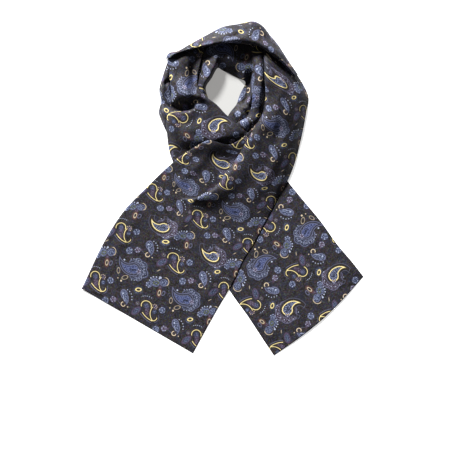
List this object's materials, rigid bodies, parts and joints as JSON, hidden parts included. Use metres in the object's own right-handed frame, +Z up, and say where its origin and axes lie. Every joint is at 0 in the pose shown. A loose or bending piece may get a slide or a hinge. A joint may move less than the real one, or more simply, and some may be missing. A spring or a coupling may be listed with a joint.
{
  "type": "paisley scarf",
  "caption": "Long silk scarf with a small paisley print, looped round an open neck hole and laid flat with its tails crossed.",
  "frame": {"origin": "middle of the scarf's outline in plan, on the surface it lies on", "axes": "+Z up from the surface, +Y from the hems towards the neck loop, +X to the right as seen from above"},
  "size_m": [0.6201, 0.7338, 0.0508],
  "materials": {
    "silk": "satin"
  },
  "bodies": {
    "root": {"hidden_layers": "silk", "tail_right": "silk", "left_under": "silk", "neck_inner": "silk", "inner_pleat": "silk", "front": "silk", "tail_left": "silk", "neck_roll": "silk"}
  },
  "joints": []
}
